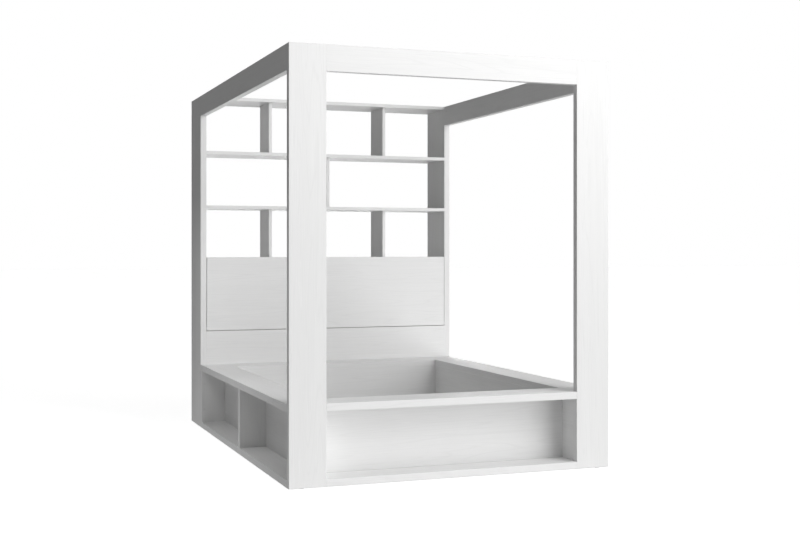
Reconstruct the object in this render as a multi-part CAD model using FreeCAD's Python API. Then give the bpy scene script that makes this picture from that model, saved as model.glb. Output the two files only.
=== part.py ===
import FreeCAD, Part
import math
import os

# Canopy bed with an open bookcase at its head, a tilting backrest panel and niches round its base.
# Sizes are in millimetres. The origin is on the floor under the middle of the bed: +X points to the
# right as seen from the foot end, +Y points to the head end and +Z points up.

# Overall sizes
overall_width = 1670
overall_height = 2050
clear_length = 2010
bookcase_depth = 300

# Board thicknesses
frame_board = 36
shelf_board = 20
back_board = 12
floor_board = 10

# Portal at the foot end and the canopy beams
upright_width = 180
beam_height = 124
beam_fixing_spread = 60

# Base with its rims and niches
rim_top = 388
end_rim_depth = 188
niche_divider_place = 1004
cleat_size = 24
floor_panel_gap = 1

# Square glides under the boards
glide_height = 2
glide_size = 24
glide_inset = 60

# Bookcase
shelf_pitch = 338
divider_offset = 383
divider_setback = 35

# Tongues on the boards and the grooves that they stand in
groove_depth = 6
groove_gap = 0.1
tongue_thickness = 12
tongue_stop = 15

# Headboard below the bookcase shelves
fixed_panel_top = 594
panel_side_gap = 3
panel_rise = 16
panel_rest_gap = 0.3
panel_swing_gap = 0.4

# Pivot of the tilting panel, measured from its front face and its lower edge
pivot_setback = 9
pivot_rise = 14
pin_radius = 4
pin_in_panel = 40
pin_in_bush = 14
pin_seat_gap = 0.02
pin_running_gap = 0.05
bush_wall = 2.5
bush_length = 16
bush_flange_width = 2
bush_end_play = 0.5
bush_seat_gap = 0.05

# Curved stays that hold the tilting panel; angles are in degrees behind the upright
tilt_range = 30
stay_radius = 150
stay_width = 16
stay_plate = 3
stay_inset = 10
stay_tail_angle = 6
stud_angle = 12
foot_width = 32
foot_height = 60
foot_screw_inset = 20
foot_screw_spread = 40
slide_gap = 0.3

# Stud and knob on each side panel
stud_radius = 3
stud_spigot_radius = 4
stud_spigot_length = 20
stud_collar_radius = 8
knob_radius = 11
knob_length = 14
knob_grip = 9
knob_chamfer = 2

# Wooden dowels
dowel_radius = 4
dowel_in_face = 12
dowel_in_edge = 23
dowel_gap = 0.05

# Cam fittings
cam_radius = 7.5
cam_reach = 34
cam_past_bolt = 5
cam_gap = 0.1
bolt_radius = 3
bolt_in_face = 12
bolt_gap = 0.1

# Screws of the stays and of the niche ends
foot_screw_radius = 2
foot_screw_length = 17
foot_head_radius = 4
foot_head_height = 2.4
frame_screw_radius = 3
frame_screw_grip = 40
frame_head_radius = 6
frame_head_height = 5
frame_screw_rise = 80
screw_gap = 0.05

# Spare depth at the end of a blind bore, and how far a cut runs past a face
bore_spare = 1
cut_overrun = 1

# Planes across the bed
half_width = overall_width / 2
inner_half = half_width - frame_board
well_half = half_width - upright_width
wall_outer = well_half + frame_board
side_board_x = half_width - frame_board / 2
panel_half = inner_half - panel_side_gap

# Planes along the bed, from the foot end to the head end
overall_length = frame_board + clear_length + bookcase_depth
front_y = -overall_length / 2
portal_back_y = front_y + frame_board
case_front_y = portal_back_y + clear_length
back_y = case_front_y + bookcase_depth
well_front_y = front_y + end_rim_depth
well_back_y = case_front_y - end_rim_depth
well_middle_y = (well_front_y + well_back_y) / 2
niche_end_y = case_front_y - frame_board
niche_middle_y = front_y + niche_divider_place
back_panel_y = back_y - back_board
panel_back_y = case_front_y + shelf_board

# Levels, from the floor up
bottom_top = glide_height + frame_board
rim_bottom = rim_top - frame_board
rim_middle = rim_top - frame_board / 2
bottom_middle = bottom_top - frame_board / 2
beam_bottom = overall_height - beam_height
case_bottom_top = glide_height + shelf_board
shelf_tops = [overall_height - row * shelf_pitch for row in range(4)]
lower_shelf_bottom = shelf_tops[3] - shelf_board
panel_bottom_gap = math.hypot(pivot_setback, pivot_rise) - pivot_rise + panel_swing_gap
panel_bottom = fixed_panel_top + panel_bottom_gap
panel_top = shelf_tops[3] + panel_rise
axis_y = case_front_y + pivot_setback
axis_z = panel_bottom + pivot_rise

# Directions and sides
right = FreeCAD.Vector(1, 0, 0)
back = FreeCAD.Vector(0, 1, 0)
up = FreeCAD.Vector(0, 0, 1)
sides = (("left", -1), ("right", 1))

# Boards by name, the bores to cut in each, and the fittings in their groups
boards = {}
bores = {}
fittings = {}


def add_board(name, x_span, y_span, z_span):
    """A board as a block between three pairs of planes."""
    low = FreeCAD.Vector(x_span[0], y_span[0], z_span[0])
    size = FreeCAD.Vector(x_span[1], y_span[1], z_span[1]) - low
    boards[name] = Part.makeBox(size.x, size.y, size.z, low)
    bores[name] = []


def sided(sign, near, far):
    """The span between two distances from the middle plane, on the left (-1) or the right (+1)."""
    return min(sign * near, sign * far), max(sign * near, sign * far)


def place(x, y, z):
    return FreeCAD.Vector(x, y, z)


def rod(start, direction, length, radius):
    return Part.makeCylinder(radius, length, start, direction)


def add_fitting(group, solid):
    fittings.setdefault(group, []).append(solid)


def dowel_joint(face, edge, point, into_edge):
    """A dowel across the joint: its short end in the face of one board, the rest in the other's edge."""
    start = point - into_edge * dowel_in_face
    length = dowel_in_face + dowel_in_edge
    add_fitting("dowels", rod(start, into_edge, length, dowel_radius))
    bore_start = start - into_edge * bore_spare
    bore = rod(bore_start, into_edge, length + 2 * bore_spare, dowel_radius + dowel_gap)
    bores[face].append(bore)
    bores[edge].append(bore)


def cam_joint(face, edge, point, into_edge, to_pocket):
    """A bolt in one board, drawn tight by a cam housing let into the hidden face of the other."""
    bolt_start = point - into_edge * bolt_in_face
    bolt_length = bolt_in_face + cam_reach
    add_fitting("cam_bolts", rod(bolt_start, into_edge, bolt_length, bolt_radius))
    bore_start = bolt_start - into_edge * bore_spare
    bolt_bore = rod(bore_start, into_edge, bore_spare + bolt_length, bolt_radius + bolt_gap)
    bores[face].append(bolt_bore)
    bores[edge].append(bolt_bore)
    mouth = point + into_edge * cam_reach + to_pocket * (frame_board / 2)
    cam_depth = frame_board / 2 + cam_past_bolt
    cam = rod(mouth, -to_pocket, cam_depth, cam_radius)
    socket_end = point + into_edge * (cam_reach + bore_spare)
    socket_length = cam_radius + bore_spare + cut_overrun
    socket = rod(socket_end, -into_edge, socket_length, bolt_radius + bolt_gap)
    add_fitting("cam_housings", cam.cut(socket))
    pocket_start = mouth + to_pocket * cut_overrun
    pocket_length = cut_overrun + cam_depth + cam_gap
    bores[edge].append(rod(pocket_start, -to_pocket, pocket_length, cam_radius + cam_gap))


def inset(span, distance):
    """A span drawn in by the same distance at both ends."""
    return span[0] + distance, span[1] - distance


def tongue_band(middle):
    """The thickness of a tongue about the middle plane of its board."""
    return middle - tongue_thickness / 2, middle + tongue_thickness / 2


def tongue_reach(plane, direction):
    """How far a tongue stands out of the end of its board, along its axis (+1) or against it (-1)."""
    tip = plane + direction * (groove_depth - groove_gap)
    return min(plane, tip), max(plane, tip)


def add_tongue(name, carrier, x_span, y_span, z_span):
    """A tongue on one board, and its groove in the board that carries it, with a gap all round."""
    low = place(x_span[0], y_span[0], z_span[0])
    size = place(x_span[1], y_span[1], z_span[1]) - low
    boards[name] = boards[name].fuse(Part.makeBox(size.x, size.y, size.z, low)).removeSplitter()
    gap = place(groove_gap, groove_gap, groove_gap)
    groove_size = size + gap * 2
    bores[carrier].append(Part.makeBox(groove_size.x, groove_size.y, groove_size.z, low - gap))


def housed_board(name, y_span, z_span):
    """A cross board of the bookcase, with both ends housed in the side panels."""
    add_board(name, (-inner_half, inner_half), y_span, z_span)
    for side, sign in sides:
        end_x = tongue_reach(sign * inner_half, sign)
        add_tongue(name, f"bookcase_side_{side}", end_x, inset(y_span, tongue_stop), z_span)


# Portal: two wide uprights and the beam between them

portal_y = (front_y, portal_back_y)
for side, sign in sides:
    upright_z = (glide_height, overall_height)
    add_board(f"portal_upright_{side}", sided(sign, well_half, half_width), portal_y, upright_z)
add_board("portal_top_beam", (-well_half, well_half), portal_y, (beam_bottom, overall_height))

beam_middle_z = overall_height - beam_height / 2
beam_cam_z = beam_middle_z + beam_fixing_spread / 2
beam_dowel_z = beam_middle_z - beam_fixing_spread / 2
portal_middle_y = front_y + frame_board / 2

for side, sign in sides:
    upright = f"portal_upright_{side}"
    inward = right * -sign
    cam_joint(upright, "portal_top_beam", place(sign * well_half, portal_middle_y, beam_cam_z), inward, back)
    dowel_joint(upright, "portal_top_beam", place(sign * well_half, portal_middle_y, beam_dowel_z), inward)

# Bookcase: side panels, top board, shelves, dividers, bottom board and lower back panel

case_y = (case_front_y, back_y)

for side, sign in sides:
    side_z = (glide_height, overall_height)
    add_board(f"bookcase_side_{side}", sided(sign, inner_half, half_width), case_y, side_z)
    rebate_x = sided(sign, inner_half - cut_overrun, inner_half + groove_depth)
    rebate_start = place(rebate_x[0], back_panel_y, case_bottom_top)
    rebate_width = groove_depth + cut_overrun
    rebate_height = lower_shelf_bottom - case_bottom_top
    rebate = Part.makeBox(rebate_width, back_board + cut_overrun, rebate_height, rebate_start)
    bores[f"bookcase_side_{side}"].append(rebate)

lower_shelf_front_y = panel_back_y + panel_rest_gap
shelf_names = ("bookcase_top_board", "bookcase_shelf_upper", "bookcase_shelf_middle", "bookcase_shelf_lower")
shelf_fronts = (case_front_y, case_front_y, case_front_y, lower_shelf_front_y)
for name, top_z, shelf_front_y in zip(shelf_names, shelf_tops, shelf_fronts):
    housed_board(name, (shelf_front_y, back_y), (top_z - shelf_board, top_z))
housed_board("bookcase_bottom_board", case_y, (glide_height, case_bottom_top))
back_panel_x = inner_half + groove_depth
add_board("bookcase_back_panel", (-back_panel_x, back_panel_x), (back_panel_y, back_y),
          (case_bottom_top, lower_shelf_bottom))

# Each row's dividers stand in grooves in the shelf below and the shelf above
divider_rows = (
    (0, {"upper_left": -divider_offset, "upper_right": divider_offset}),
    (1, {"middle": 0}),
    (2, {"lower_left": -divider_offset, "lower_right": divider_offset}),
)
divider_y = (case_front_y + divider_setback, back_y - divider_setback)
for row, dividers in divider_rows:
    ceiling_z = shelf_tops[row] - shelf_board
    seat_z = shelf_tops[row + 1]
    for label, middle_x in dividers.items():
        divider_x = (middle_x - shelf_board / 2, middle_x + shelf_board / 2)
        divider = f"bookcase_divider_{label}"
        add_board(divider, divider_x, divider_y, (seat_z, ceiling_z))
        add_tongue(divider, shelf_names[row], divider_x, divider_y, tongue_reach(ceiling_z, 1))
        add_tongue(divider, shelf_names[row + 1], divider_x, divider_y, tongue_reach(seat_z, -1))

# Headboard: fixed panel, floor of the compartment behind it, and the tilting panel

fixed_panel_z = (case_bottom_top, fixed_panel_top)
fixed_panel_y = (case_front_y, panel_back_y)
add_board("headboard_fixed_panel", (-inner_half, inner_half), fixed_panel_y, fixed_panel_z)
for side, sign in sides:
    end_x = tongue_reach(sign * inner_half, sign)
    end_y = tongue_band(case_front_y + shelf_board / 2)
    end_z = inset(fixed_panel_z, tongue_stop)
    add_tongue("headboard_fixed_panel", f"bookcase_side_{side}", end_x, end_y, end_z)
compartment_floor_z = (fixed_panel_top - shelf_board, fixed_panel_top)
housed_board("headboard_compartment_floor", (panel_back_y, back_panel_y), compartment_floor_z)
add_board("headboard_tilt_panel", (-panel_half, panel_half), (case_front_y, panel_back_y),
          (panel_bottom, panel_top))

# Canopy side beams from the portal to the bookcase

for side, sign in sides:
    beam = f"canopy_side_beam_{side}"
    beam_x = sided(sign, inner_half, half_width)
    add_board(beam, beam_x, (portal_back_y, case_front_y), (beam_bottom, overall_height))
    inward = right * -sign
    front_end = (f"portal_upright_{side}", portal_back_y, back)
    back_end = (f"bookcase_side_{side}", case_front_y, -back)
    for carrier, end_y, into_beam in (front_end, back_end):
        cam_joint(carrier, beam, place(sign * side_board_x, end_y, beam_cam_z), into_beam, inward)
        dowel_joint(carrier, beam, place(sign * side_board_x, end_y, beam_dowel_z), into_beam)

# Base: bottom boards, the four walls of the well, and the four rims on top

for level_name, z_span in (("bottom", (glide_height, bottom_top)), ("rim", (rim_bottom, rim_top))):
    add_board(f"base_{level_name}_front", (-well_half, well_half), (front_y, well_front_y), z_span)
    add_board(f"base_{level_name}_back", (-well_half, well_half), (well_back_y, case_front_y), z_span)
    for side, sign in sides:
        side_x = sided(sign, well_half, half_width)
        add_board(f"base_{level_name}_{side}", side_x, (portal_back_y, case_front_y), z_span)

wall_z = (bottom_top, rim_bottom)
add_board("well_wall_front", (-well_half, well_half), (well_front_y - frame_board, well_front_y), wall_z)
add_board("well_wall_back", (-well_half, well_half), (well_back_y, well_back_y + frame_board), wall_z)
for side, sign in sides:
    add_board(f"well_wall_{side}", sided(sign, well_half, wall_outer), (portal_back_y, case_front_y), wall_z)

# The upright dividers of the side niches, one in the middle and one at the head end
for side, sign in sides:
    niche_x = sided(sign, wall_outer, half_width)
    divider_span = (niche_middle_y - frame_board / 2, niche_middle_y + frame_board / 2)
    add_board(f"niche_divider_{side}", niche_x, divider_span, wall_z)
    add_board(f"niche_end_{side}", niche_x, (niche_end_y, case_front_y), wall_z)


def stand_between(name, bottom, rim, x_span, y_span):
    """Tongues on an upright board of the base, in the bottom board below it and the rim above it."""
    add_tongue(name, bottom, x_span, y_span, tongue_reach(bottom_top, -1))
    add_tongue(name, rim, x_span, y_span, tongue_reach(rim_bottom, 1))


cross_x = inset((-well_half, well_half), tongue_stop)
along_y = inset((portal_back_y, case_front_y), tongue_stop)
for end, wall_y in (("front", well_front_y - frame_board / 2), ("back", well_back_y + frame_board / 2)):
    stand_between(f"well_wall_{end}", f"base_bottom_{end}", f"base_rim_{end}", cross_x, tongue_band(wall_y))
for side, sign in sides:
    bottom = f"base_bottom_{side}"
    rim = f"base_rim_{side}"
    wall_x = sign * (well_half + frame_board / 2)
    stand_between(f"well_wall_{side}", bottom, rim, tongue_band(wall_x), along_y)
    niche_x = sided(sign, wall_outer + tongue_stop, half_width - tongue_stop)
    stand_between(f"niche_divider_{side}", bottom, rim, niche_x, tongue_band(niche_middle_y))
    stand_between(f"niche_end_{side}", bottom, rim, niche_x, tongue_band(niche_end_y + frame_board / 2))

# The end boards of the base are tongued into its side boards, which are drawn against the uprights
front_joint_y = inset((portal_back_y, well_front_y), tongue_stop)
back_joint_y = inset((well_back_y, case_front_y), tongue_stop)
for level_name, level in (("bottom", bottom_middle), ("rim", rim_middle)):
    for side, sign in sides:
        side_board = f"base_{level_name}_{side}"
        joint_x = tongue_reach(sign * well_half, sign)
        for end, joint_y in (("front", front_joint_y), ("back", back_joint_y)):
            add_tongue(f"base_{level_name}_{end}", side_board, joint_x, joint_y, tongue_band(level))
        upright = f"portal_upright_{side}"
        cam_joint(upright, side_board, place(sign * side_board_x, portal_back_y, level), back, -up)
        dowel_x = sign * (well_half + frame_board / 2)
        dowel_joint(upright, side_board, place(dowel_x, portal_back_y, level), back)

# Screws through the niche ends into the front edges of the bookcase sides

for side, sign in sides:
    niche_end = f"niche_end_{side}"
    for screw_z in (bottom_top + frame_screw_rise, rim_bottom - frame_screw_rise):
        mouth = place(sign * side_board_x, niche_end_y, screw_z)
        shank_length = frame_board + frame_screw_grip
        head = rod(mouth, back, frame_head_height, frame_head_radius)
        add_fitting("frame_screws", head.fuse(rod(mouth, back, shank_length, frame_screw_radius)))
        shank_bore = rod(mouth, back, shank_length + bore_spare, frame_screw_radius + screw_gap)
        head_bore_length = cut_overrun + frame_head_height + screw_gap
        head_bore = rod(mouth - back * cut_overrun, back, head_bore_length, frame_head_radius + screw_gap)
        bores[niche_end].append(shank_bore.fuse(head_bore))
        bores[f"bookcase_side_{side}"].append(shank_bore)

# Floor of the well: cleats round its foot, a bearer across the middle and two loose panels

cleat_z = (bottom_top - cleat_size, bottom_top)
add_board("well_cleat_front", (-well_half, well_half), (well_front_y, well_front_y + cleat_size), cleat_z)
add_board("well_cleat_back", (-well_half, well_half), (well_back_y - cleat_size, well_back_y), cleat_z)
cleat_inner = well_half - cleat_size
cleat_y = (well_front_y + cleat_size, well_back_y - cleat_size)
for side, sign in sides:
    add_board(f"well_cleat_{side}", sided(sign, cleat_inner, well_half), cleat_y, cleat_z)
bearer_y = (well_middle_y - frame_board / 2, well_middle_y + frame_board / 2)
add_board("well_floor_bearer", (-cleat_inner, cleat_inner), bearer_y, (glide_height, bottom_top))
floor_x = (floor_panel_gap - well_half, well_half - floor_panel_gap)
floor_z = (bottom_top, bottom_top + floor_board)
add_board("well_floor_front", floor_x, (well_front_y + floor_panel_gap, well_middle_y), floor_z)
add_board("well_floor_rear", floor_x, (well_middle_y, well_back_y - floor_panel_gap), floor_z)

# Pivot of the tilting panel: a steel pin in each end, turning in a flanged bush in the side panel

bush_radius = pin_radius + pin_running_gap + bush_wall
flange_length = panel_side_gap - bush_end_play
for side, sign in sides:
    outward = right * sign
    panel_end = place(sign * panel_half, axis_y, axis_z)
    case_face = place(sign * inner_half, axis_y, axis_z)
    pin_start = panel_end - outward * pin_in_panel
    pin_length = pin_in_panel + panel_side_gap + pin_in_bush
    add_fitting("pivot_pins", rod(pin_start, outward, pin_length, pin_radius))
    seat_start = pin_start - outward * bore_spare
    seat_length = bore_spare + pin_in_panel + cut_overrun
    bores["headboard_tilt_panel"].append(rod(seat_start, outward, seat_length, pin_radius + pin_seat_gap))
    flange = rod(case_face, -outward, flange_length, bush_radius + bush_flange_width)
    barrel = rod(case_face, outward, bush_length, bush_radius)
    hole_start = case_face - outward * (flange_length + cut_overrun)
    hole_length = flange_length + bush_length + 2 * cut_overrun
    hole = rod(hole_start, outward, hole_length, pin_radius + pin_running_gap)
    add_fitting("pivot_bushes", flange.fuse(barrel).cut(hole))
    bush_bore_start = case_face - outward * cut_overrun
    bush_bore_length = cut_overrun + bush_length + bore_spare
    bush_bore = rod(bush_bore_start, outward, bush_bore_length, bush_radius + bush_seat_gap)
    bores[f"bookcase_side_{side}"].append(bush_bore)

# Curved stays: a slotted arc about the pivot axis, with a foot screwed to the back of the panel


def arc_point(x, radius, angle):
    """A point on an arc about the pivot axis, at an angle in degrees behind the upright."""
    turn = math.radians(angle)
    return place(x, axis_y + radius * math.sin(turn), axis_z + radius * math.cos(turn))


def arc_band(x, start_angle, end_angle, width):
    """A flat curved band about the pivot axis, with square ends."""
    outer = stay_radius + width / 2
    inner = stay_radius - width / 2
    middle_angle = (start_angle + end_angle) / 2
    outer_arc = Part.Arc(*(arc_point(x, outer, angle) for angle in (start_angle, middle_angle, end_angle)))
    inner_arc = Part.Arc(*(arc_point(x, inner, angle) for angle in (end_angle, middle_angle, start_angle)))
    end_line = Part.LineSegment(arc_point(x, outer, end_angle), arc_point(x, inner, end_angle))
    start_line = Part.LineSegment(arc_point(x, inner, start_angle), arc_point(x, outer, start_angle))
    outline = Part.Wire([curve.toShape() for curve in (outer_arc, end_line, inner_arc, start_line)])
    return Part.Face(outline)


stay_face_x = inner_half - stay_inset
slot_end_angle = stud_angle + tilt_range
stay_end_angle = slot_end_angle + stay_tail_angle
slot_radius = stud_radius + slide_gap
foot_middle_z = axis_z + stay_radius
foot_back_y = panel_back_y + stay_plate
stud_place = arc_point(0, stay_radius, stud_angle)

for side, sign in sides:
    inward = right * -sign
    outer_x = sign * stay_face_x
    strap = arc_band(outer_x, 0, stay_end_angle, stay_width).extrude(inward * stay_plate)
    tip = arc_point(outer_x, stay_radius, stay_end_angle)
    strap = strap.fuse(rod(tip, inward, stay_plate, stay_width / 2))
    slot = arc_band(outer_x, stud_angle, slot_end_angle, 2 * slot_radius).extrude(inward * stay_plate)
    for angle in (stud_angle, slot_end_angle):
        slot = slot.fuse(rod(arc_point(outer_x, stay_radius, angle), inward, stay_plate, slot_radius))
    panel_zone_x = sided(sign, stay_face_x - stay_plate, stay_face_x)
    panel_zone_start = place(panel_zone_x[0], axis_y - stay_radius, axis_z)
    panel_zone_depth = panel_back_y - axis_y + stay_radius
    panel_zone = Part.makeBox(stay_plate, panel_zone_depth, 2 * stay_radius, panel_zone_start)
    foot_x = sided(sign, stay_face_x - foot_width, stay_face_x)
    foot_start = place(foot_x[0], panel_back_y, foot_middle_z - foot_height / 2)
    foot = Part.makeBox(foot_width, stay_plate, foot_height, foot_start)
    screw_x = sign * (stay_face_x - foot_screw_inset)
    stay_holes = []
    for screw_z in (foot_middle_z - foot_screw_spread / 2, foot_middle_z + foot_screw_spread / 2):
        seat = place(screw_x, foot_back_y, screw_z)
        screw_head = rod(seat, back, foot_head_height, foot_head_radius)
        add_fitting("stay_screws", screw_head.fuse(rod(seat, -back, foot_screw_length, foot_screw_radius)))
        screw_bore_start = seat + back * cut_overrun
        screw_bore_length = cut_overrun + foot_screw_length + bore_spare
        screw_bore = rod(screw_bore_start, -back, screw_bore_length, foot_screw_radius + screw_gap)
        stay_holes.append(screw_bore)
        bores["headboard_tilt_panel"].append(screw_bore)
    stay = strap.cut(panel_zone).fuse(foot).cut([slot] + stay_holes).removeSplitter()
    boards[f"tilt_stay_{side}"] = stay.Solids[0]
    bores[f"tilt_stay_{side}"] = []

# Studs in the side panels that the stays slide on, each with a clamping knob

for side, sign in sides:
    inward = right * -sign
    case_face = place(sign * inner_half, stud_place.y, stud_place.z)
    spigot = rod(case_face, -inward, stud_spigot_length, stud_spigot_radius)
    collar = rod(case_face, inward, stay_inset - slide_gap, stud_collar_radius)
    stud_length = stay_inset + stay_plate + slide_gap + knob_grip
    stud = rod(case_face, inward, stud_length, stud_radius)
    add_fitting("stay_studs", spigot.fuse([collar, stud]).removeSplitter())
    spigot_bore_start = case_face + inward * cut_overrun
    spigot_bore_length = cut_overrun + stud_spigot_length + bore_spare
    spigot_bore = rod(spigot_bore_start, -inward, spigot_bore_length, stud_spigot_radius + screw_gap)
    bores[f"bookcase_side_{side}"].append(spigot_bore)
    knob_start = case_face + inward * (stay_inset + stay_plate + slide_gap)
    knob = rod(knob_start, inward, knob_length, knob_radius)
    knob = knob.makeChamfer(knob_chamfer, [edge for edge in knob.Edges if edge.Closed])
    knob_bore_length = cut_overrun + knob_grip + bore_spare
    knob_bore = rod(knob_start - inward * cut_overrun, inward, knob_bore_length, stud_radius + screw_gap)
    add_fitting("stay_knobs", knob.cut(knob_bore))

# Glides under every board that stands on the floor

glide_places = []
for side, sign in sides:
    glide_places.append((sign * (half_width - glide_inset), portal_middle_y))
    glide_places.append((sign * side_board_x, case_front_y + glide_inset))
    glide_places.append((sign * side_board_x, back_y - glide_inset))
    glide_places.append((sign * (half_width - upright_width / 2), niche_middle_y))
    glide_places.append((sign * (inner_half - glide_inset), case_front_y + bookcase_depth / 2))
    glide_places.append((sign * (well_half - glide_inset), well_front_y - glide_inset))
    glide_places.append((sign * (well_half - glide_inset), well_back_y + glide_inset))
    glide_places.append((sign * cleat_inner / 2, well_middle_y))
for glide_x, glide_y in glide_places:
    glide_corner = place(glide_x - glide_size / 2, glide_y - glide_size / 2, 0)
    add_fitting("floor_glides", Part.makeBox(glide_size, glide_size, glide_height, glide_corner))

# Each board is cut and written, then each group of fittings

os.makedirs("parts", exist_ok=True)
for name, blank in boards.items():
    solid = blank.cut(bores[name]) if bores[name] else blank
    solid.exportStep(f"parts/{name}.step")
for group, solids in fittings.items():
    Part.makeCompound(solids).exportStep(f"parts/{group}.step")
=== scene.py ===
import math

import bmesh
import bpy
import numpy as np
from mathutils import Euler, Matrix, Vector


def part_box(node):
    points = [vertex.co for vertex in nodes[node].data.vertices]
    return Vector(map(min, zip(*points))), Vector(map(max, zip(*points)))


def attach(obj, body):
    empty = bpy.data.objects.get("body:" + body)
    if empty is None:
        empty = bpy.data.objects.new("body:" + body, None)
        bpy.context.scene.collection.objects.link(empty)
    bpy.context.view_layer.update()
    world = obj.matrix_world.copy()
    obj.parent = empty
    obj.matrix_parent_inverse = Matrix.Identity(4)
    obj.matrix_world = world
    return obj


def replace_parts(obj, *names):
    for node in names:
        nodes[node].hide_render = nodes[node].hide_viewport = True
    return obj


# Sizes are in metres and angles in degrees, in the part's own frame.

# Camera: its lens, view centre and horizon in pixels of an image of 800 by 533, its sensor in millimetres
image_width = 800
image_height = 533
sensor_width = 36
focal_pixels = 1190.38
camera_place = (-2.2845, -6.4390, 1.1012)
camera_yaw = 20.222
view_centre_x = 389.446
horizon_y = 249.313

# Far soft lamps: angle round from the foot end to the right, angle above the floor, angle it fills, strength
# A strength of 1 lights a surface that faces the lamp to its own colour.
far_lamps = {
    "lamp_front_right": (45, 0, 60, 0.645),
    "lamp_high": (40, 60, 40, 0.150),
    "lamp_back_high": (180, 45, 60, 0.115),
    "lamp_back": (165, 2, 20, 0.380),
}

# Panel lamps: place, the point it faces, width, length, and power in watts
panel_lamps = {
    "softbox_right": ((2.2, -3.6, 3.6), (0, 0, 1), 2.5, 2.5, 80),
    "softbox_left": ((-0.6, -3.1, 2.2), (0, 0, 1), 2.5, 2.5, 13),
    "strip_left": ((-1.48, -0.15, 1.4), (-1.48, -0.15, 0), 0.4, 1.4, 5.6),
    "bounce_left": ((-1.6, 0.2, 0.002), (-1.6, 0.2, 1), 1.2, 1.6, 1.1),
    "table_panel": ((0.3, 0, 0.001), (0.3, 0, 1), 3.4, 4.4, 12.6),
}

# Floor: its colour and glow where it lights the object, and those that the camera sees as white
floor_half = 60
floor_roughness = 1
floor_colour = (0.2, 0.2, 0.2)
floor_glow = 0.115
floor_seen_colour = (0.5, 0.5, 0.5)
floor_seen_glow = 0.85

# Rounded edges
board_edge_radius = 0.0012
fitting_edge_radius = 0.00015
edge_segments = 2
edge_angle = 50
shortest_edge = 0.004
weld_distance = 0.00001
flat_angle = 0.5
smooth_angle = 35
flat_face_weight = 100

# White board: its colours, the height of its embossing, and how it shines
board_colour = (0.802, 0.802, 0.800)
band_colour = (0.788, 0.788, 0.786)
ring_colour = (0.776, 0.776, 0.774)
dark_colour = (0.762, 0.762, 0.760)
light_colour = (0.826, 0.826, 0.825)
emboss_depth = 0.00005
board_roughness = 0.55
pore_roughness = 0.67
board_gloss = 0.12

# Layers of the grain: the sizes across it and along it
band_sizes = (0.035, 1.2)
ring_sizes = (0.11, 2.6)
dark_sizes = (0.0032, 0.20)
light_sizes = (0.0040, 0.16)
pore_sizes = (0.0013, 0.030)
ring_count = 34
grain_bend = 0.5
object_shift = (7, 11, 5)

# Layers of the grain: the shares of the noise between which each fades in, and a ring fades out
band_shares = (0.35, 0.70)
ring_shares = (0, 0.30)
dark_shares = (0.56, 0.72)
light_shares = (0.60, 0.74)
pore_shares = (0.58, 0.75)

# Wood, metal and plastic: the colour and the one that clouds it, the sizes of the grain, and how they shine
pine_colours = ((0.62, 0.42, 0.22), (0.46, 0.27, 0.12))
beech_colours = ((0.55, 0.33, 0.18), (0.42, 0.23, 0.11))
steel_colours = ((0.62, 0.63, 0.64), (0.50, 0.51, 0.53))
dark_plastic_colours = ((0.012, 0.012, 0.013), (0.022, 0.022, 0.023))
white_plastic_colours = ((0.78, 0.78, 0.775), (0.72, 0.72, 0.715))
pine_ring = 0.006
beech_ring = 0.001
ring_stretch = 40
steel_cell = 0.004
plastic_cell = 0.0006
cloud_shares = (0.40, 0.68)
relief_share = 0.03
metal_relief_share = 0.005
wood_roughness = 0.6
metal_roughness = 0.32
dull_roughness = 0.47
plastic_roughness = 0.45
worn_roughness = 0.57
fitting_gloss = 0.3

# Turned pieces: the points round a ring, and the radius of the smallest ring at the middle of a face
turned_sides = 56
centre_radius = 0.0001

# Cover caps over the cam housings and over the screws that hold the base to the bookcase
cam_cap_radius = 0.0090
screw_cap_radius = 0.0075
cap_height = 0.0010
cap_rim = 0.0006
cap_flat_share = 0.5

# Clamping knobs with grip lobes and a dished face
knob_lobes = 7
knob_lobe_share = 0.14
knob_edge = 0.0016
knob_corner_share = 1 / 3
knob_dish = 0.0012
knob_rim_share = 0.62
knob_dish_share = 0.55

# Cross-headed screws of the stays
screw_head_radius = 0.0040
screw_head_height = 0.0022
head_wall_share = 0.4
head_rings = 16
screw_shank_radius = 0.0018
screw_tip_radius = 0.0006
screw_point = 0.0030
cross_length = 0.0048
cross_width = 0.0011
cross_depth = 0.0012

# A right angle, plain white, and the numbers of a mix node's colour sockets
quarter_turn = math.radians(90)
white = (1, 1, 1, 1)
mix_under_socket = 6
mix_over_socket = 7
mix_result_socket = 2

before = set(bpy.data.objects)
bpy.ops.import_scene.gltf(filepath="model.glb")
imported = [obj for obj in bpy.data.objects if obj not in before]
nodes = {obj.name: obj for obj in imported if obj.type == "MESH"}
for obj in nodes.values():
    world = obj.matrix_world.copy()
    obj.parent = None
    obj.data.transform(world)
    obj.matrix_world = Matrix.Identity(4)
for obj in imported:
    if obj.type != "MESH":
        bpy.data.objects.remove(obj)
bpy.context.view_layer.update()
scene = bpy.context.scene
scene.view_settings.view_transform = "Standard"

# Camera

camera_data = bpy.data.cameras.new("camera")
camera = bpy.data.objects.new("camera", camera_data)
scene.collection.objects.link(camera)
camera.location = camera_place
camera.rotation_euler = Euler((quarter_turn, 0, -math.radians(camera_yaw)))
camera_data.sensor_width = sensor_width
camera_data.lens = focal_pixels * sensor_width / image_width
camera_data.shift_x = (image_width / 2 - view_centre_x) / image_width
camera_data.shift_y = (horizon_y - image_height / 2) / image_width
scene.camera = camera

# Lamps and world


def add_lamp(name, kind, energy):
    data = bpy.data.lights.new(name, kind)
    data.energy = energy
    lamp = bpy.data.objects.new(name, data)
    scene.collection.objects.link(lamp)
    return lamp


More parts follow.
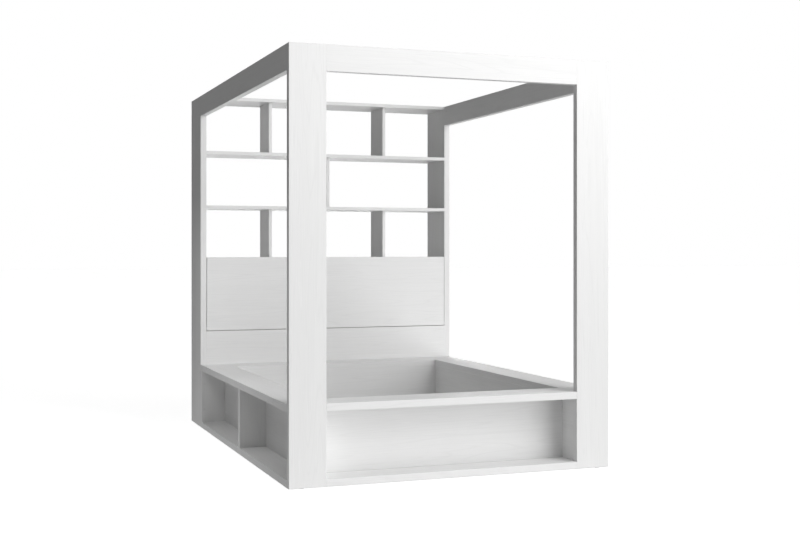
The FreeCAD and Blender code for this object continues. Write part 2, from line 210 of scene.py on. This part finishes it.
for name, (azimuth, elevation, spread, strength) in far_lamps.items():
    lamp = add_lamp(name, "SUN", math.pi * strength)
    lamp.data.angle = math.radians(spread)
    lamp.data.cycles.use_multiple_importance_sampling = False
    lamp.rotation_euler = Euler((quarter_turn - math.radians(elevation), 0, math.radians(azimuth)))

for name, (place, aim, width, length, power) in panel_lamps.items():
    lamp = add_lamp(name, "AREA", power)
    lamp.data.shape = "RECTANGLE"
    lamp.data.size = width
    lamp.data.size_y = length
    lamp.location = place
    lamp.rotation_euler = (Vector(aim) - Vector(place)).to_track_quat("-Z", "Y").to_euler()


def seen_share(tree):
    """1 for rays from the camera, from gloss and through glass, and 0 for rays that light the object."""
    path = tree.nodes.new("ShaderNodeLightPath")
    total = path.outputs["Is Camera Ray"]
    for kind in ("Is Glossy Ray", "Is Transmission Ray"):
        larger = tree.nodes.new("ShaderNodeMath")
        larger.operation = "MAXIMUM"
        tree.links.new(total, larger.inputs[0])
        tree.links.new(path.outputs[kind], larger.inputs[1])
        total = larger.outputs[0]
    return total


world = bpy.data.worlds.new("studio")
scene.world = world
world.use_nodes = True
background = world.node_tree.nodes["Background"]
background.inputs["Color"].default_value = white
world.node_tree.links.new(seen_share(world.node_tree), background.inputs["Strength"])

# Materials: helpers


def new_material(name, colour, roughness):
    material = bpy.data.materials.new(name)
    material.use_nodes = True
    shader = material.node_tree.nodes["Principled BSDF"]
    shader.inputs["Base Color"].default_value = (*colour, 1)
    shader.inputs["Roughness"].default_value = roughness
    return material, material.node_tree, shader


def object_place(tree):
    """Places on the part in metres, moved by a different amount on each object."""
    place = tree.nodes.new("ShaderNodeTexCoord")
    info = tree.nodes.new("ShaderNodeObjectInfo")
    move = tree.nodes.new("ShaderNodeVectorMath")
    move.operation = "MULTIPLY_ADD"
    move.inputs[1].default_value = object_shift
    tree.links.new(info.outputs["Random"], move.inputs[0])
    tree.links.new(place.outputs["Object"], move.inputs[2])
    return move.outputs[0]


def noise(tree, cell, layer, bend=0):
    """Noise whose blotches have the three given sizes in metres, different in each layer."""
    mapping = tree.nodes.new("ShaderNodeMapping")
    mapping.inputs["Scale"].default_value = [1 / size for size in cell]
    tree.links.new(object_place(tree), mapping.inputs["Vector"])
    texture = tree.nodes.new("ShaderNodeTexNoise")
    texture.noise_dimensions = "4D"
    texture.inputs["W"].default_value = layer
    texture.inputs["Scale"].default_value = 1
    texture.inputs["Distortion"].default_value = bend
    tree.links.new(mapping.outputs["Vector"], texture.inputs["Vector"])
    return texture.outputs["Fac"]


def calculated(tree, operation, first, second):
    """The result of a sum on a socket and a socket or a number."""
    node = tree.nodes.new("ShaderNodeMath")
    node.operation = operation
    tree.links.new(first, node.inputs[0])
    if isinstance(second, bpy.types.NodeSocket):
        tree.links.new(second, node.inputs[1])
    else:
        node.inputs[1].default_value = second
    return node.outputs[0]


def ranged(tree, value, low, high, to_low=0, to_high=1):
    """A value taken smoothly from one range to another."""
    node = tree.nodes.new("ShaderNodeMapRange")
    node.interpolation_type = "SMOOTHSTEP"
    node.inputs["From Min"].default_value = low
    node.inputs["From Max"].default_value = high
    node.inputs["To Min"].default_value = to_low
    node.inputs["To Max"].default_value = to_high
    tree.links.new(value, node.inputs["Value"])
    return node.outputs["Result"]


def tinted(tree, factor, under, over):
    """One colour laid over another by a factor; the lower one is a colour or a socket."""
    node = tree.nodes.new("ShaderNodeMix")
    node.data_type = "RGBA"
    tree.links.new(factor, node.inputs["Factor"])
    if isinstance(under, tuple):
        node.inputs[mix_under_socket].default_value = (*under, 1)
    else:
        tree.links.new(under, node.inputs[mix_under_socket])
    node.inputs[mix_over_socket].default_value = (*over, 1)
    return node.outputs[mix_result_socket]


def bumped(tree, shader, height, depth):
    """Gives a shader the relief of a height, times a depth in metres."""
    bump = tree.nodes.new("ShaderNodeBump")
    bump.inputs["Distance"].default_value = depth
    tree.links.new(height, bump.inputs["Height"])
    tree.links.new(bump.outputs["Normal"], shader.inputs["Normal"])


def along(axis, across_size, along_size):
    """Three sizes, long on one axis and narrow on the others."""
    return [along_size if index == axis else across_size for index in range(3)]


# Materials: white board with grain along X, Y or Z


def board_layer(tree, axis, sizes, shares, layer):
    return ranged(tree, noise(tree, along(axis, *sizes), layer, grain_bend), *shares)


def ring_lines(tree, axis):
    """Growth lines: lines of equal height on a long, slow noise."""
    height = noise(tree, along(axis, *ring_sizes), 0, grain_bend)
    wave = calculated(tree, "PINGPONG", calculated(tree, "MULTIPLY", height, ring_count), 1)
    return ranged(tree, wave, *ring_shares, 1, 0)


def board_material(axis):
    material, tree, shader = new_material(f"white_board_{'xyz'[axis]}", board_colour, board_roughness)
    shader.inputs["Specular IOR Level"].default_value = board_gloss
    rings = ring_lines(tree, axis)
    band = board_layer(tree, axis, band_sizes, band_shares, 1)
    dark = board_layer(tree, axis, dark_sizes, dark_shares, 2)
    light = board_layer(tree, axis, light_sizes, light_shares, 3)
    pore = board_layer(tree, axis, pore_sizes, pore_shares, 4)
    colour = tinted(tree, band, board_colour, band_colour)
    colour = tinted(tree, rings, colour, ring_colour)
    colour = tinted(tree, dark, colour, dark_colour)
    colour = tinted(tree, light, colour, light_colour)
    tree.links.new(colour, shader.inputs["Base Color"])
    tree.links.new(ranged(tree, pore, 0, 1, board_roughness, pore_roughness), shader.inputs["Roughness"])
    sunk = calculated(tree, "MAXIMUM", dark, rings)
    bumped(tree, shader, calculated(tree, "SUBTRACT", light, sunk), emboss_depth)
    return material


board_materials = [board_material(axis) for axis in range(3)]

# Materials: wood, metal and plastic


def wood_material(name, colours, axis, ring):
    material, tree, shader = new_material(name, colours[0], wood_roughness)
    shader.inputs["Specular IOR Level"].default_value = fitting_gloss
    rings = ranged(tree, noise(tree, along(axis, ring, ring * ring_stretch), 0), *cloud_shares)
    tree.links.new(tinted(tree, rings, *colours), shader.inputs["Base Color"])
    bumped(tree, shader, rings, ring * relief_share)
    return material


def metal_material(name, colours, cell):
    material, tree, shader = new_material(name, colours[0], metal_roughness)
    shader.inputs["Metallic"].default_value = 1
    cloud = ranged(tree, noise(tree, (cell, cell, cell), 0), *cloud_shares)
    tree.links.new(tinted(tree, cloud, *colours), shader.inputs["Base Color"])
    tree.links.new(ranged(tree, cloud, 0, 1, metal_roughness, dull_roughness), shader.inputs["Roughness"])
    bumped(tree, shader, cloud, cell * metal_relief_share)
    return material


def plastic_material(name, colours, cell):
    material, tree, shader = new_material(name, colours[0], plastic_roughness)
    shader.inputs["Specular IOR Level"].default_value = fitting_gloss
    cloud = ranged(tree, noise(tree, (cell, cell, cell), 0), *cloud_shares)
    tree.links.new(tinted(tree, cloud, *colours), shader.inputs["Base Color"])
    tree.links.new(ranged(tree, cloud, 0, 1, plastic_roughness, worn_roughness), shader.inputs["Roughness"])
    bumped(tree, shader, cloud, cell * relief_share)
    return material


pine_x = wood_material("pine_x", pine_colours, 0, pine_ring)
pine_y = wood_material("pine_y", pine_colours, 1, pine_ring)
beech = wood_material("beech", beech_colours, 0, beech_ring)
steel = metal_material("zinc_plated_steel", steel_colours, steel_cell)
dark_plastic = plastic_material("dark_plastic", dark_plastic_colours, plastic_cell)
white_plastic = plastic_material("white_plastic", white_plastic_colours, plastic_cell)

fitting_materials = {
    "well_cleat_front": pine_x, "well_cleat_back": pine_x, "well_floor_bearer": pine_x,
    "well_cleat_left": pine_y, "well_cleat_right": pine_y, "dowels": beech,
    "cam_housings": white_plastic, "cam_bolts": steel, "frame_screws": steel, "stay_screws": steel,
    "tilt_stay_left": steel, "tilt_stay_right": steel, "stay_studs": steel, "pivot_pins": steel,
    "stay_knobs": dark_plastic, "pivot_bushes": white_plastic, "floor_glides": dark_plastic,
}

# Materials and rounded edges on the CAD nodes


def board_edges():
    """A node group that marks the long sharp edges of a board for rounding, not the rims of its holes."""
    group = bpy.data.node_groups.new("board_edges", "GeometryNodeTree")
    for way in ("INPUT", "OUTPUT"):
        group.interface.new_socket("Geometry", in_out=way, socket_type="NodeSocketGeometry")
    start = group.nodes.new("NodeGroupInput")
    end = group.nodes.new("NodeGroupOutput")
    angle = group.nodes.new("GeometryNodeInputMeshEdgeAngle")
    tips = group.nodes.new("GeometryNodeInputMeshEdgeVertices")
    length = group.nodes.new("ShaderNodeVectorMath")
    length.operation = "DISTANCE"
    group.links.new(tips.outputs["Position 1"], length.inputs[0])
    group.links.new(tips.outputs["Position 2"], length.inputs[1])
    sharp = calculated(group, "GREATER_THAN", angle.outputs["Unsigned Angle"], math.radians(edge_angle))
    long = calculated(group, "GREATER_THAN", length.outputs["Value"], shortest_edge)
    store = group.nodes.new("GeometryNodeStoreNamedAttribute")
    store.domain = "EDGE"
    store.data_type = "FLOAT"
    store.inputs["Name"].default_value = "bevel_weight_edge"
    group.links.new(start.outputs[0], store.inputs["Geometry"])
    group.links.new(calculated(group, "MULTIPLY", sharp, long), store.inputs["Value"])
    group.links.new(store.outputs["Geometry"], end.inputs[0])
    return group


def longest_axis(low, high):
    size = list(high - low)
    return size.index(max(size))


edge_group = board_edges()

for name, node in nodes.items():
    fitting = fitting_materials.get(name)
    node.data.materials.clear()
    node.data.materials.append(fitting or board_materials[longest_axis(*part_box(name))])
    weld = node.modifiers.new("weld", "WELD")
    weld.merge_threshold = weld_distance
    flat = node.modifiers.new("flat", "DECIMATE")
    flat.decimate_type = "DISSOLVE"
    flat.angle_limit = math.radians(flat_angle)
    if not fitting:
        node.modifiers.new("edges", "NODES").node_group = edge_group
    bevel = node.modifiers.new("bevel", "BEVEL")
    bevel.width = fitting_edge_radius if fitting else board_edge_radius
    bevel.segments = edge_segments
    bevel.limit_method = "ANGLE" if fitting else "WEIGHT"
    bevel.angle_limit = math.radians(edge_angle)
    even = node.modifiers.new("even", "WEIGHTED_NORMAL")
    even.weight = flat_face_weight

# Turned pieces


def solid_boxes(name):
    """The lowest and highest corner of each separate solid in a CAD node."""
    work = bmesh.new()
    work.from_mesh(nodes[name].data)
    bmesh.ops.remove_doubles(work, verts=work.verts, dist=weld_distance)
    seen = set()
    boxes = []
    for first in work.verts:
        if first in seen:
            continue
        seen.add(first)
        solid = [first]
        for vertex in solid:
            for edge in vertex.link_edges:
                other = edge.other_vert(vertex)
                if other not in seen:
                    seen.add(other)
                    solid.append(other)
        places = np.array([vertex.co for vertex in solid])
        boxes.append((Vector(places.min(axis=0)), Vector(places.max(axis=0))))
    work.free()
    return boxes


def turned(work, profile, place, axis, shape):
    """Adds a closed turned solid: rings of radius and height up an axis, put through a shape."""
    turn = Matrix.Translation(place) @ Vector((0, 0, 1)).rotation_difference(axis).to_matrix().to_4x4()
    rings = []
    for radius, height in profile:
        ring = []
        for side in range(turned_sides):
            angle = math.tau * side / turned_sides
            ring.append(work.verts.new(turn @ shape(radius, angle, height)))
        rings.append(ring)
    for lower, upper in zip(rings, rings[1:]):
        for side in range(turned_sides):
            following = (side + 1) % turned_sides
            work.faces.new((lower[side], lower[following], upper[following], upper[side]))
    work.faces.new(list(reversed(rings[0])))
    work.faces.new(rings[-1])


def round_shape(radius, angle, height):
    return Vector((radius * math.cos(angle), radius * math.sin(angle), height))


def lobed_shape(radius, angle, height):
    lobed = radius * (1 - knob_lobe_share * (1 + math.cos(knob_lobes * angle)) / 2)
    return round_shape(lobed, angle, height)


def crossed_shape(shank):
    """A shape that sinks a cross into whatever stands above the shank."""
    def shape(radius, angle, height):
        point = round_shape(radius, angle, height)
        long_side = max(abs(point.x), abs(point.y))
        short_side = min(abs(point.x), abs(point.y))
        if height > shank and long_side < cross_length / 2 and short_side < cross_width / 2:
            point.z -= cross_depth
        return point
    return shape


def towards_middle(low):
    """The way across the part from one of its sides, told by the lowest corner of a solid there."""
    return Vector((1 if low.x < 0 else -1, 0, 0))


def add_piece(name, work, material, body):
    """Makes a mesh into a piece of the object that moves with a body."""
    mesh = bpy.data.meshes.new(name)
    work.to_mesh(mesh)
    work.free()
    mesh.shade_smooth()
    mesh.set_sharp_from_angle(angle=math.radians(smooth_angle))
    mesh.materials.append(material)
    piece = bpy.data.objects.new(name, mesh)
    scene.collection.objects.link(piece)
    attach(piece, body)
    return piece


# Cover caps


def cap_profile(radius):
    edge = [(radius, 0), (radius, cap_rim), (radius - cap_rim, cap_height)]
    return edge + [(radius * cap_flat_share, cap_height), (centre_radius, cap_height)]


def housing_axis(low, high):
    """The way that a housing faces out of its board: to the middle, to the head end, or down."""
    ways = (towards_middle(low), Vector((0, 1, 0)), Vector((0, 0, -1)))
    return ways[longest_axis(low, high)]


caps = bmesh.new()
for low, high in solid_boxes("cam_housings"):
    axis = housing_axis(low, high)
    middle = (low + high) / 2
    reach = abs((high - low).dot(axis)) / 2
    turned(caps, cap_profile(cam_cap_radius), middle + axis * reach, axis, round_shape)
add_piece("cam_caps", caps, white_plastic, "frame")

caps = bmesh.new()
for low, high in solid_boxes("frame_screws"):
    middle = (low + high) / 2
    place = Vector((middle.x, low.y, middle.z))
    turned(caps, cap_profile(screw_cap_radius), place, Vector((0, -1, 0)), round_shape)
add_piece("screw_caps", caps, white_plastic, "frame")

# Clamping knobs

knobs = bmesh.new()
knob_corner = knob_edge * knob_corner_share
for low, high in solid_boxes("stay_knobs"):
    axis = towards_middle(low)
    middle = (low + high) / 2
    length = high.x - low.x
    radius = (high.z - low.z) / 2
    profile = [(radius - knob_edge, 0), (radius, knob_edge), (radius, length - knob_edge)]
    profile += [(radius - knob_corner, length - knob_corner), (radius - knob_edge, length)]
    profile += [(radius * knob_rim_share, length), (radius * knob_dish_share, length - knob_dish)]
    profile.append((centre_radius, length - knob_dish))
    turned(knobs, profile, middle - axis * (length / 2), axis, lobed_shape)
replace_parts(add_piece("clamping_knobs", knobs, dark_plastic, "frame"), "stay_knobs")

# Cross-headed screws of the stays

screws = bmesh.new()
for low, high in solid_boxes("stay_screws"):
    middle = (low + high) / 2
    place = Vector((middle.x, low.y, middle.z))
    shank = high.y - low.y - screw_head_height
    profile = [(screw_tip_radius, 0), (screw_shank_radius, screw_point), (screw_shank_radius, shank)]
    profile.append((screw_head_radius, shank))
    for step in range(head_rings):
        turn = quarter_turn * step / head_rings
        rise = head_wall_share + (1 - head_wall_share) * math.sin(turn)
        profile.append((screw_head_radius * math.cos(turn), shank + screw_head_height * rise))
    turned(screws, profile, place, Vector((0, 1, 0)), crossed_shape(shank))
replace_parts(add_piece("stay_cross_screws", screws, steel, "backrest"), "stay_screws")

# Floor

floor_mesh = bpy.data.meshes.new("floor")
corners = [(x * floor_half, y * floor_half, 0) for x, y in ((-1, -1), (1, -1), (1, 1), (-1, 1))]
floor_mesh.from_pydata(corners, [], [(0, 1, 2, 3)])
floor = bpy.data.objects.new("floor", floor_mesh)
scene.collection.objects.link(floor)
floor.visible_shadow = False
floor_material, floor_tree, floor_shader = new_material("floor", floor_colour, floor_roughness)
floor_shader.inputs["Specular IOR Level"].default_value = 0
floor_shader.inputs["Emission Color"].default_value = white
seen = seen_share(floor_tree)
floor_tint = tinted(floor_tree, seen, floor_colour, floor_seen_colour)
floor_tree.links.new(floor_tint, floor_shader.inputs["Base Color"])
floor_light = ranged(floor_tree, seen, 0, 1, floor_glow, floor_seen_glow)
floor_tree.links.new(floor_light, floor_shader.inputs["Emission Strength"])
floor_mesh.materials.append(floor_material)
